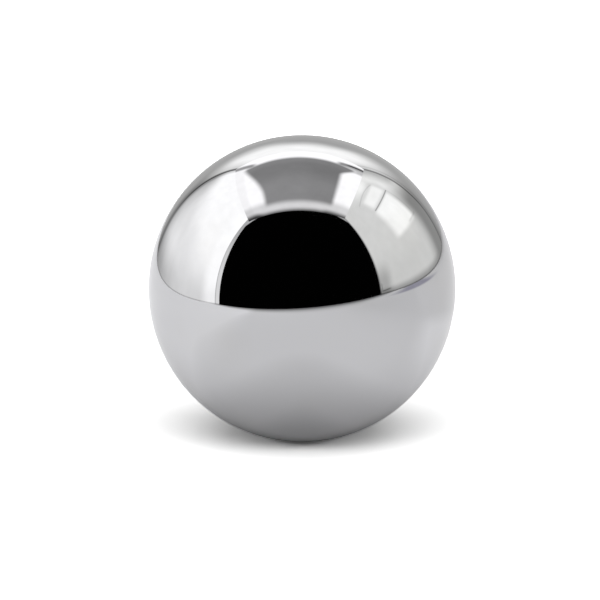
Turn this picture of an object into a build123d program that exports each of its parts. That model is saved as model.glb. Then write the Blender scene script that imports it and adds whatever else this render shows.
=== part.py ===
from build123d import *
import os

# Solid steel ball, ground and lapped to a mirror, as used in bearings and bench work.
# Millimetres, +Z up, with the origin at the centre of the ball.

# Driving dimension
ball_diameter = 15.875  # the 5/8 inch standard size

ball_radius = ball_diameter / 2

# The ball is one piece: half of its round section, turned about the vertical axis
with BuildPart() as ball:
    with BuildSketch(Plane.XZ):
        with BuildLine():
            outline = CenterArc((0, 0), ball_radius, start_angle=-90, arc_size=180)
            Line(outline @ 1, outline @ 0)
        make_face()
    revolve(axis=Axis.Z)

ball.part.label = "steel_ball"

os.makedirs("parts", exist_ok=True)
export_step(ball.part, "parts/steel_ball.step")

print(f"diameter {ball_diameter:.3f} mm, volume {ball.part.volume:.2f} mm3")
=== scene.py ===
import math

import bpy
from mathutils import Matrix, Vector


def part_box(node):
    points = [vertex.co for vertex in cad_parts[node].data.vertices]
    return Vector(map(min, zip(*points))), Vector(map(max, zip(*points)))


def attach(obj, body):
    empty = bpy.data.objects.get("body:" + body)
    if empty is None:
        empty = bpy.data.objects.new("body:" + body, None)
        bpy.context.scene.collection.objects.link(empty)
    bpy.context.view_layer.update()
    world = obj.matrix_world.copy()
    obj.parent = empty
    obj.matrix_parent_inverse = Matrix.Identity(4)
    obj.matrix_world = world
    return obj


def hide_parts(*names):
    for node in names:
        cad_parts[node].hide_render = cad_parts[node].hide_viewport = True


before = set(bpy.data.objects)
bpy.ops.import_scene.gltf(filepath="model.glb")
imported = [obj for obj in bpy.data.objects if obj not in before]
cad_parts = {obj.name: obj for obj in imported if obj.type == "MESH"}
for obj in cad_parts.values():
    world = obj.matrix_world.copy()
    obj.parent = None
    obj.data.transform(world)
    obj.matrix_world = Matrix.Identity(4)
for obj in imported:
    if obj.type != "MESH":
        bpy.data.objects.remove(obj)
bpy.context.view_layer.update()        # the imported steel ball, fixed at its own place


# What a user would change is in one dictionary for each piece. Metres and degrees throughout.

ball = {
    "name": "polished_ball",
    "node": "steel_ball",
    "slot": "polished_steel",
    "body": "root",
    "cubeCuts": 2,            # cuts along each side of the cube that it starts from
    "halvings": 5,            # then every face is halved this many times
}

steel = {
    "colour": (0.60, 0.60, 0.61),
    "hazeColour": (0.575, 0.572, 0.572),
    "roughness": 0.015,
    "hazeRoughness": 0.05,
    "hazeSize": 0.006,
    "hazeEdge": (0.45, 0.75),
}

camera = {
    "distance": 20.0,         # from the ball's centre, in ball radii
    "elevation": 11.5,
    "ballShare": 0.5122,      # width of the ball over width of the picture
    "ballRight": 0.0133,      # how far right of the middle the ball sits, in radii
    "ballUp": 0.0745,         # how far above it
    "sensor": 36.0,
    "nearest": 0.1,           # in ball radii
    "farthest": 5.0,
}

# The ball stands in a white cloth light tent, open at the front
tent = {
    "left": 0.317,
    "right": 0.3385,
    "front": 0.1796,
    "back": 0.518,
    "top": 0.515,
    "turn": -3.07,            # about the vertical
    "lean": 3.81,             # about the line from the ball to the camera
    "creaseSize": 0.06,
    "creasing": 0.16,
}

floor = {
    "reach": 1.3,
    "cuts": 259,
    "levelRadius": 0.03,      # level this far round the ball
    "leaningRadius": 0.12,    # and from here on it leans with the tent
    "paper": (1.12, 1.12, 1.135),
    # the colour that the painted shade on the paper darkens towards
    "paintedShade": (0.0, 0.0, 0.0),
    "edge": (0.58, 0.57, 0.68),
    "left": 1.11,             # painted light: how much of the paper's colour shows there
    "middle": 0.81,
    "right": 0.74,
    "paperAsExposed": (1.95, 1.95, 1.95),
}

# Azimuth is from the camera's side, towards the right. Wide and high are as seen from the ball.
lampDistance = 3.0
lamps = {
    "topSoftbox": {"azimuth": 0, "elevation": 72, "wide": 84, "high": 72, "share": 0.80},
    "frontSoftbox": {"azimuth": 0, "elevation": 31, "wide": 80, "high": 20, "share": 0.20},
    "leftLow": {"azimuth": -58, "elevation": 17, "wide": 50, "high": 20, "share": 0.085},
    "rightLow": {"azimuth": 58, "elevation": 17, "wide": 50, "high": 20, "share": 0.085},
}


# Shader maths: a Number is a value socket that Python's own operators work on

class Number:
    def __init__(self, shader, socket):
        self.shader = shader
        self.socket = socket

    def __add__(self, other):
        return self.shader.maths("ADD", self, other)

    def __radd__(self, other):
        return self.shader.maths("ADD", other, self)

    def __sub__(self, other):
        return self.shader.maths("SUBTRACT", self, other)

    def __rsub__(self, other):
        return self.shader.maths("SUBTRACT", other, self)

    def __mul__(self, other):
        return self.shader.maths("MULTIPLY", self, other)

    def __rmul__(self, other):
        return self.shader.maths("MULTIPLY", other, self)

    def smooth(self, low, high):      # 0 at low, 1 at high, easing in and out
        settings = {"interpolation_type": "SMOOTHSTEP"}
        sockets = {"Value": self, "From Min": low, "From Max": high}
        eased = self.shader.node("ShaderNodeMapRange", settings, sockets)
        return Number(self.shader, eased.outputs[0])

    def within(self, low, high, soft):    # 1 between low and high, 0 outside
        return self.smooth(low - soft, low + soft) * (1 - self.smooth(high - soft, high + soft))


class Shader:
    def __init__(self, owner, outputKind="ShaderNodeOutputMaterial"):
        owner.use_nodes = True
        self.owner = owner
        self.tree = owner.node_tree
        self.tree.nodes.clear()
        self.output = self.node(outputKind)

    def node(self, kind, settings=None, sockets=None):
        made = self.tree.nodes.new(kind)
        for setting, value in (settings or {}).items():
            setattr(made, setting, value)
        for name, value in (sockets or {}).items():
            self.feed(made.inputs[name], value)
        return made

    def feed(self, socket, value):
        if isinstance(value, Number):
            value = value.socket
        if isinstance(value, bpy.types.NodeSocket):
            self.tree.links.new(value, socket)
        elif isinstance(value, tuple) and socket.type == "RGBA":
            socket.default_value = (*value, 1.0)
        else:
            socket.default_value = value

    def maths(self, operation, first, second):
        made = self.node("ShaderNodeMath", {"operation": operation}, {0: first, 1: second})
        return Number(self, made.outputs[0])

    def place(self):                  # the piece's own x, y and z, in metres
        coordinates = self.node("ShaderNodeTexCoord").outputs["Object"]
        split = self.node("ShaderNodeSeparateXYZ", None, {0: coordinates})
        return [Number(self, axis) for axis in split.outputs]

    def cloud(self, size):            # soft random patches about this big, around 0.5
        coordinates = self.node("ShaderNodeTexCoord").outputs["Object"]
        sockets = {"Vector": coordinates, "Scale": 1 / size, "Detail": 3.0, "Roughness": 0.5}
        return Number(self, self.node("ShaderNodeTexNoise", None, sockets).outputs[0])

    def unscattered(self):            # 0 for light that a matt surface has scattered
        bounces = self.node("ShaderNodeLightPath").outputs["Diffuse Depth"]
        return self.maths("LESS_THAN", bounces, 0.5)

    def mixColour(self, share, first, second):
        settings = {"data_type": "RGBA"}
        made = self.node("ShaderNodeMix", settings, {0: share, 6: first, 7: second})
        return made.outputs[2]

    def finish(self, surface):
        self.feed(self.output.inputs["Surface"], surface.outputs[0])
        return self.owner


def layer(under, over, mask):
    return under + (over - under) * mask


def deselectAll():
    for thing in bpy.context.selected_objects:
        thing.select_set(False)
    bpy.context.view_layer.objects.active = None


# The light tent: one box of cloth, opened at the front and floored with paper. Its sides glow,
# each with its own painted light and its painted shade along folds and corners, and are there
# only for the ball to mirror.
# A side's dictionary has its brightness, where 1 is plain white. Distances are from the ball,
# x to the right, y to the back and z up.

def glowing(name, pattern, tint):
    shader = Shader(bpy.data.materials.new(name))
    # The ball throws none of this glow on the paper
    brightness = pattern(*shader.place()) * shader.unscattered()
    creases = (shader.cloud(tent["creaseSize"]) - 0.5) * tent["creasing"]
    brightness = brightness * (1 + creases)
    settings = {"operation": "SCALE"}
    colour = shader.node("ShaderNodeVectorMath", settings, {0: tint, "Scale": brightness})
    sockets = {"Color": colour.outputs[0], "Strength": 1.0}
    return shader.finish(shader.node("ShaderNodeEmission", None, sockets))


leftCloth = {
    "lower": 1.25,
    "upper": 1.62,
    # painted light: a brighter strip at the front
    "frontBrightStrip": 1.66,
    "hemBelow": 1.1,
    "hemAbove": 0.65,
    "stitching": 0.38,
    "stitchingPlace": (-0.157, -0.154),
}


def leftWall(x, y, z):
    dimmerBack = 1 - 0.6 * y.smooth(0.20, 0.595)
    # Painted light above a slanting line, painted shade below it
    aboveSlant = (z - 0.135 - y * 0.55).smooth(-0.085, 0.08)
    cloth = layer(leftCloth["lower"] * dimmerBack, leftCloth["upper"], aboveSlant)
    # Painted light: a brighter strip at the front
    frontBrightStrip = 1 - y.smooth(-0.12, -0.06)
    cloth = layer(cloth, leftCloth["frontBrightStrip"], frontBrightStrip)
    # Painted shade near the floor, deeper towards the back
    nearFloor = 1 - z.smooth(0.0, 0.10)
    cloth = cloth * (1 - nearFloor * (0.14 + 0.36 * y.smooth(0.0, 0.32)))
    # Painted shade near the back corner, darkest in a line along it
    backCornerShade = y.smooth(0.43, 0.50)
    backCornerShadeLine = y.smooth(0.497, 0.508) * z.smooth(0.02, 0.22)
    cloth = cloth * (1 - 0.42 * backCornerShade) * (1 - 0.85 * backCornerShadeLine)
    hem = layer(leftCloth["hemBelow"], leftCloth["hemAbove"], z.smooth(0.10, 0.40))
    cloth = layer(cloth, hem, 1 - y.smooth(*leftCloth["stitchingPlace"]))
    # Painted shade in a line where the wall meets the paper
    clearOfFloor = z.smooth(-0.007, -0.003)
    cloth = cloth * (0.6 + 0.4 * clearOfFloor)
    stitching = y.within(*leftCloth["stitchingPlace"], 0.0025)
    return layer(cloth, leftCloth["stitching"], stitching)


rightCloth = {
    "plain": 1.05,
    "backCorner": 0.38,
    "upperBack": 1.38,
    "overhead": 1.55,
}

# A window outside shines through the right wall: two panes, a rod between, a rounded head
window = {
    "lowerPane": {"y": (0.037, 0.256), "z": (0.152, 0.310), "soft": (0.028, 0.012), "glow": 1.56},
    "upperPane": {"y": (0.045, 0.265), "z": (0.328, 0.42), "soft": (0.028, 0.02), "glow": 1.50},
    "rod": {"y": (0.045, 0.285), "z": (0.314, 0.320), "soft": (0.004, 0.004), "glow": 0.42},
    "headTop": 0.452,
    "headMiddle": 0.12,
    "headRounding": 1.4,
}


def withPart(cloth, y, z, part):      # one upright rectangle of the window
    softAcross, softUp = part["soft"]
    inside = y.within(*part["y"], softAcross) * z.within(*part["z"], softUp)
    return layer(cloth, part["glow"], inside)


def rightWall(x, y, z):
    # Painted shade near the floor
    nearFloor = 1 - z.smooth(0.04, 0.16)
    cloth = rightCloth["plain"] - 0.08 * nearFloor
    cloth = cloth * (0.5 + 0.5 * z.smooth(-0.006, 0.022))
    # Painted shade in the lower back corner
    backCorner = y.smooth(0.19, 0.37) * (1 - z.smooth(0.18, 0.30))
    cloth = layer(cloth, rightCloth["backCorner"], backCorner)
    upperBack = z.smooth(0.26, 0.34) * y.smooth(0.25, 0.34)
    cloth = layer(cloth, rightCloth["upperBack"] - 0.65 * y.smooth(0.30, 0.50), upperBack)
    overhead = z.smooth(0.41, 0.50) * y.within(0.08, 0.28, 0.12)
    cloth = layer(cloth, rightCloth["overhead"], overhead)

    cloth = withPart(cloth, y, z, window["lowerPane"])
    cloth = withPart(cloth, y, z, window["upperPane"])
    fromMiddle = y - window["headMiddle"]
    head = window["headTop"] - fromMiddle * fromMiddle * window["headRounding"]
    headRim = (z - head).within(-0.004, 0.004, 0.005) * y.within(0.0, 0.265, 0.01)
    cloth = cloth * (1 - 0.25 * headRim)
    cloth = withPart(cloth, y, z, window["rod"])
    sideRim = (y - 0.285).within(-0.003, 0.003, 0.004) * z.within(0.17, 0.33, 0.01)
    sillRim = (z - 0.160 + y * 0.01).within(-0.003, 0.003, 0.004) * y.within(0.18, 0.30, 0.02)
    cloth = cloth * (1 - 0.16 * sideRim) * (1 - 0.22 * sillRim)

    # Painted shade in the lower front corner
    frontCorner = (1 - y.smooth(-0.14, -0.08)) * (1 - z.smooth(0.04, 0.14))
    cloth = cloth * (1 - 0.35 * frontCorner)
    # Painted shade in a line along the back corner
    backCornerShadeLine = y.smooth(0.497, 0.510) * z.smooth(0.10, 0.20)
    cloth = cloth * (1 - 0.6 * backCornerShadeLine)
    # Painted shade in a line where the wall meets the paper
    clearOfFloor = z.smooth(-0.007, -0.002)
    cloth = cloth * (0.45 + 0.55 * clearOfFloor)
    stitching = y.within(-0.167, -0.163, 0.002) * z.within(0.004, 0.035, 0.006)
    # Painted shade along a crease at the wall's foot, by the opening
    creaseShade = (z - 0.004 - (y + 0.165) * 0.06).within(-0.002, 0.002, 0.0025)
    creaseShade = creaseShade * y.within(-0.165, -0.115, 0.008)
    cloth = cloth * (1 - 0.5 * stitching) * (1 - 0.65 * creaseShade)
    clearOfOpening = y.smooth(-0.184, -0.166)
    return cloth * (0.1 + 0.9 * clearOfOpening)


backCloth = {
    "lower": 0.52,
    "upper": 1.5,
}


def backWall(x, y, z):
    lower = backCloth["lower"] - 0.2 * (1 - x.smooth(-0.33, -0.24))
    # The light reaches lower towards the right and less low in the middle
    rise = layer(z.smooth(0.16, 0.40), z.smooth(0.12, 0.40), x.smooth(0.02, 0.20))
    rise = layer(rise, z.smooth(0.22, 0.415), x.within(-0.06, 0.12, 0.05))
    cloth = layer(lower, backCloth["upper"], rise)
    rightShade = x.smooth(0.21, 0.33)
    leftShade = 1 - x.smooth(-0.31, -0.20)
    cloth = cloth * (1 - 0.35 * rightShade) * (1 - 0.3 * leftShade)
    # Painted shade in lines along the back corners
    leftCornerShade = (1 - x.smooth(-0.308, -0.296)) * z.smooth(0.05, 0.25)
    rightCornerShade = x.smooth(0.318, 0.330)
    cloth = cloth * (1 - 0.7 * leftCornerShade) * (1 - 0.6 * rightCornerShade)
    rightHem = x.within(0.290, 0.297, 0.005)
    return cloth * (1 - 0.3 * rightHem)


ceilingCloth = {
    "leftStrip": 1.54,
    "bright": 1.66,
    "panel": 0.41,
    # painted shade of folds in the back corners
    "leftFoldShade": 0.5,
    "aboveRightFoldShade": 0.9,
    "rightFoldShade": 0.45,
    "rightCreaseShade": 0.10,
}


def ceiling(x, y, z):
    frontShade = 1 - y.smooth(-0.10, -0.04)
    bright = layer(ceilingCloth["leftStrip"], ceilingCloth["bright"], x.smooth(-0.275, -0.25))
    bright = bright * (1 - 0.33 * frontShade)

    # The grey panel, wider towards the back
    leftEdge = -0.171 - 0.09 * y.smooth(-0.02, 0.42)
    rightEdge = 0.217 + 0.075 * y.smooth(0.22, 0.38)
    panel = (x - leftEdge).smooth(-0.018, 0.020) * (1 - (x - rightEdge).smooth(-0.018, 0.018))
    panel = panel * y.within(-0.100, 0.376, 0.028)
    tone = ceilingCloth["panel"] - 0.085 * y.smooth(0.04, 0.22)
    tone = tone - 0.03 * x.smooth(0.0, 0.15) + 0.05 * y.smooth(0.26, 0.34)
    cloth = layer(bright, tone, panel)

    # Painted shade of folds in the back corners
    leftFoldShade = (y - 0.38 + (x + 0.20) * 0.9).within(-0.03, 0.035, 0.02)
    leftFoldShade = leftFoldShade * (1 - x.smooth(-0.22, -0.18)) * y.smooth(0.34, 0.39)
    cloth = layer(cloth, ceilingCloth["leftFoldShade"], leftFoldShade)
    acrossFold = y - 0.40 - (x - 0.21) * 0.45
    rightCorner = x.smooth(0.17, 0.21)
    aboveRightFoldShade = acrossFold.within(-0.10, -0.02, 0.02) * rightCorner * (1 - panel)
    rightFoldShade = acrossFold.within(-0.03, 0.03, 0.02) * rightCorner
    rightCreaseShade = acrossFold.within(-0.008, 0.018, 0.008) * x.smooth(0.22, 0.26)
    cloth = layer(cloth, ceilingCloth["aboveRightFoldShade"], aboveRightFoldShade)
    cloth = layer(cloth, ceilingCloth["rightFoldShade"], rightFoldShade)
    cloth = layer(cloth, ceilingCloth["rightCreaseShade"], rightCreaseShade)

    # The front edge, a little further in at its ends
    inset = 0.02 * (1 - x.smooth(-0.26, -0.18)) + 0.008 * x.smooth(0.15, 0.20)
    clearOfOpening = (y - inset).smooth(-0.190, -0.138)
    return cloth * (0.06 + 0.94 * clearOfOpening)


opening = {
    "dark": 0.0006,
    "leftCorner": 0.75,
    "rightCorner": 0.6,
}


def openFront(x, y, z):
    leftCorner = (z - x).smooth(0.755, 0.785)
    rightCorner = (z + x).smooth(0.775, 0.805)
    cornerLight = opening["leftCorner"] * leftCorner + opening["rightCorner"] * rightCorner
    return opening["dark"] + cornerLight


def paperShader():
    shader = Shader(bpy.data.materials.new("tent paper"))
    x, y = shader.place()[:2]
    # Painted light: brightest on the left
    inFront = shader.maths("MINIMUM", y, 0.0)
    fromLeft = (x - inFront * 0.6).smooth(-0.030, -0.002)
    fromMiddle = (x + inFront * 0.4).smooth(0.002, 0.05)
    share = layer(floor["left"], floor["middle"], fromLeft)
    share = layer(share, floor["right"], fromMiddle)
    # Painted shade: dimmer in the tent's back and at its opening
    farBack = y.smooth(0.10, 0.35)
    clearOfOpening = y.smooth(-0.165, -0.07)
    share = share * (1 - 0.3 * farBack) * (0.25 + 0.75 * clearOfOpening)
    # Painted shadow of the ball: dimmest under it, with painted light just behind it. Distances
    # from the foot are squared.
    fromFoot = x * x * 4 + y * y
    clearOfFoot = fromFoot.smooth(0.0, 0.00005)
    clearOfBall = fromFoot.smooth(0.00002, 0.0003)
    share = share * (0.60 + 0.22 * clearOfFoot + 0.22 * clearOfBall)
    closeTo = 1 - (x * x + y * y).smooth(0.0002, 0.0012)
    share = share * (1 + y.smooth(-0.006, 0.006) * (0.06 + 0.24 * closeTo))
    share = share * shader.unscattered()

    rightEdge = x.smooth(0.115, 0.15) * y.within(-0.05, 0.07, 0.03)
    paperColour = shader.mixColour(rightEdge, floor["paper"], floor["edge"])
    colour = shader.mixColour(share, floor["paintedShade"], paperColour)
    mirrored = shader.node("ShaderNodeBsdfDiffuse", None, {"Color": colour})
    exposed = shader.node("ShaderNodeBsdfDiffuse", None, {"Color": floor["paperAsExposed"]})
    seenByCamera = shader.node("ShaderNodeLightPath").outputs["Is Camera Ray"]
    sockets = {0: seenByCamera, 1: mirrored.outputs[0], 2: exposed.outputs[0]}
    return shader.finish(shader.node("ShaderNodeMixShader", None, sockets))


def makeTentBox(centre, radius, stand):
    low = Vector((-tent["left"], -tent["front"], -radius))
    high = Vector((tent["right"], tent["back"], tent["top"]))
    deselectAll()
    bpy.ops.mesh.primitive_cube_add(size=1, location=(low + high) / 2, scale=high - low)
    box = bpy.context.object
    box.name = "lightTent"
    bpy.ops.object.transform_apply(location=True, rotation=False, scale=True)
    squareOn = 0.9            # a side is a face that points this nearly its way
    sides = {
        "left": ((-1, 0, 0), glowing("tent left", leftWall, (1.0, 1.0, 1.0))),
        "right": ((1, 0, 0), glowing("tent right", rightWall, (1.0, 1.005, 0.985))),
        "back": ((0, 1, 0), glowing("tent back", backWall, (1.0, 1.0, 0.99))),
        "ceiling": ((0, 0, 1), glowing("tent ceiling", ceiling, (1.0, 0.995, 1.0))),
        "front": ((0, -1, 0), glowing("open front", openFront, (1.0, 1.0, 1.0))),
    }
    for index, (direction, material) in enumerate(sides.values()):
        box.data.materials.append(material)
        for face in box.data.polygons:
            if face.normal.dot(Vector(direction)) > squareOn:
                face.material_index = index
    # The paper takes the place of the box's own bottom
    bpy.ops.object.mode_set(mode="EDIT")
    bpy.ops.mesh.select_all(action="DESELECT")
    bpy.ops.object.mode_set(mode="OBJECT")
    for face in box.data.polygons:
        face.select = face.normal.z < -squareOn
    bpy.ops.object.mode_set(mode="EDIT")
    bpy.ops.mesh.delete(type="FACE")
    bpy.ops.object.mode_set(mode="OBJECT")
    box.matrix_world = Matrix.Translation(centre) @ stand
    box.visible_camera = False
    box.visible_diffuse = False
    box.visible_shadow = False
    print("tent:", ", ".join(sides))


# Level round the ball, and further off leaning with the tent
def makePaper(centre, radius, stand):
    deselectAll()
    bpy.ops.mesh.primitive_grid_add(
        x_subdivisions=floor["cuts"], y_subdivisions=floor["cuts"], size=2 * floor["reach"],
        location=centre - Vector((0, 0, radius)),
    )
    paper = bpy.context.object
    paper.name = "tentPaper"
    bpy.ops.object.transform_apply(location=True, rotation=False, scale=False)
    up = stand.to_3x3() @ Vector((0, 0, 1))
    for corner in paper.data.vertices:
        across = corner.co - centre
        leaningHeight = (-radius - up.x * across.x - up.y * across.y) / up.z
        away = math.hypot(across.x, across.y)
        share = (away - floor["levelRadius"]) / (floor["leaningRadius"] - floor["levelRadius"])
        share = min(max(share, 0.0), 1.0)
        share = share * share * (3 - 2 * share)       # eases in and out
        corner.co.z = centre.z - radius + share * (leaningHeight + radius)
    bpy.ops.object.shade_smooth()
    paper.data.materials.append(paperShader())
    print("paper:", len(paper.data.polygons), "faces")


def makeTent(centre, radius):
    turned = Matrix.Rotation(math.radians(tent["turn"]), 4, "Z")
    leaned = Matrix.Rotation(math.radians(tent["lean"]), 4, directionToCamera())
    stand = leaned @ turned
    makeTentBox(centre, radius, stand)
    makePaper(centre, radius, stand)


# Soft lamps for the paper and the ball's shadow on it. The ball mirrors the tent instead.

def makeLamps(centre):
    for name, lamp in lamps.items():
        around = math.radians(lamp["azimuth"])
        rise = math.radians(lamp["elevation"])
        towardsLamp = Vector((
            math.cos(rise) * math.sin(around), -math.cos(rise) * math.cos(around), math.sin(rise),
        ))
        deselectAll()
        bpy.ops.object.light_add(type="AREA", location=centre + towardsLamp * lampDistance)
        made = bpy.context.object
        made.name = name
        made.rotation_euler = (-towardsLamp).to_track_quat("-Z", "Y").to_euler()
        made.data.shape = "RECTANGLE"
        made.data.size = 2 * lampDistance * math.tan(math.radians(lamp["wide"] / 2))
        made.data.size_y = 2 * lampDistance * math.tan(math.radians(lamp["high"] / 2))
        # Power for about this lamp's share of the paper's light, a little less from a wide one
        made.data.energy = lamp["share"] * 4 * math.pi * lampDistance ** 2 / math.sin(rise)
        made.visible_glossy = False
    print("lamps:", ", ".join(lamps))


def directionToCamera():
    rise = math.radians(camera["elevation"])
    return Vector((0, -math.cos(rise), math.sin(rise)))


# The camera, level, at the front

def makeCamera(centre, radius):
    away = camera["distance"]
    towardsCamera = directionToCamera()
    right = Vector((1, 0, 0))
    up = towardsCamera.cross(right)
    aim = centre - (right * camera["ballRight"] + up * camera["ballUp"]) * radius
    deselectAll()
    bpy.ops.object.camera_add(location=centre + towardsCamera * radius * away)
    eye = bpy.context.object
    eye.rotation_euler = (aim - eye.location).to_track_quat("-Z", "Y").to_euler()
    eye.data.sensor_width = camera["sensor"]
    eye.data.lens = camera["sensor"] / 2 * camera["ballShare"] * math.sqrt(away ** 2 - 1)
    eye.data.clip_start = radius * camera["nearest"]
    eye.data.clip_end = camera["farthest"]
    bpy.context.scene.camera = eye
    print("camera: lens", round(eye.data.lens, 1), "mm")


# The world beyond the paper is white to look at and lights nothing

def makeWorld():
    world = bpy.data.worlds.new("whiteStudio")
    bpy.context.scene.world = world
    shader = Shader(world, "ShaderNodeOutputWorld")
    rays = shader.node("ShaderNodeLightPath").outputs
    seen = rays["Is Camera Ray"]
    for ray in ("Is Glossy Ray", "Is Transmission Ray"):
        seen = shader.maths("MAXIMUM", seen, rays[ray])
    sockets = {"Color": (1.0, 1.0, 1.0), "Strength": seen}
    shader.finish(shader.node("ShaderNodeBackground", None, sockets))
    print("world:", world.name)


# The ball, mirror bright under a faint haze from its lapping

def steelShader():
    shader = Shader(bpy.data.materials.new("polished steel"))
    haze = shader.cloud(steel["hazeSize"]).smooth(*steel["hazeEdge"])
    colour = shader.mixColour(haze, steel["colour"], steel["hazeColour"])
    surface = shader.node("ShaderNodeBsdfPrincipled", None, {
        "Base Color": colour,
        "Metallic": 1.0,
        "Roughness": layer(steel["roughness"], steel["hazeRoughness"], haze),
    })
    return shader.finish(surface)


def makeBall(centre, radius):
    deselectAll()
    bpy.ops.mesh.primitive_cube_add(size=radius, location=centre)
    piece = bpy.context.object
    piece.name = ball["name"]
    bpy.ops.object.transform_apply(location=True, rotation=False, scale=False)
    bpy.ops.object.mode_set(mode="EDIT")
    bpy.ops.mesh.select_all(action="SELECT")
    bpy.ops.mesh.subdivide(number_cuts=ball["cubeCuts"])
    bpy.ops.object.mode_set(mode="OBJECT")

    rounding = piece.modifiers.new("rounding", "SUBSURF")
    rounding.levels = ball["halvings"]
    rounding.render_levels = ball["halvings"]
    bpy.ops.object.modifier_apply(modifier=rounding.name)
    lapping = piece.modifiers.new("lapping", "CAST")     # every point out to the true radius
    lapping.cast_type = "SPHERE"
    lapping.factor = 1.0
    lapping.use_radius_as_size = False
    lapping.size = radius
    bpy.ops.object.modifier_apply(modifier=lapping.name)
    bpy.ops.object.shade_smooth()

    piece.data.materials.append(steelShader())
    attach(piece, ball["body"])
    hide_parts(ball["node"])
    reach = [(point.co - centre).length for point in piece.data.vertices]
    print("ball:", len(piece.data.polygons), "faces, radius", min(reach), "to", max(reach))


lowest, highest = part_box(ball["node"])
ballCentre = (lowest + highest) / 2
ballRadius = (highest.z - lowest.z) / 2

makeBall(ballCentre, ballRadius)
makeTent(ballCentre, ballRadius)
makeLamps(ballCentre)
makeWorld()
makeCamera(ballCentre, ballRadius)
bpy.context.scene.view_settings.view_transform = "Standard"
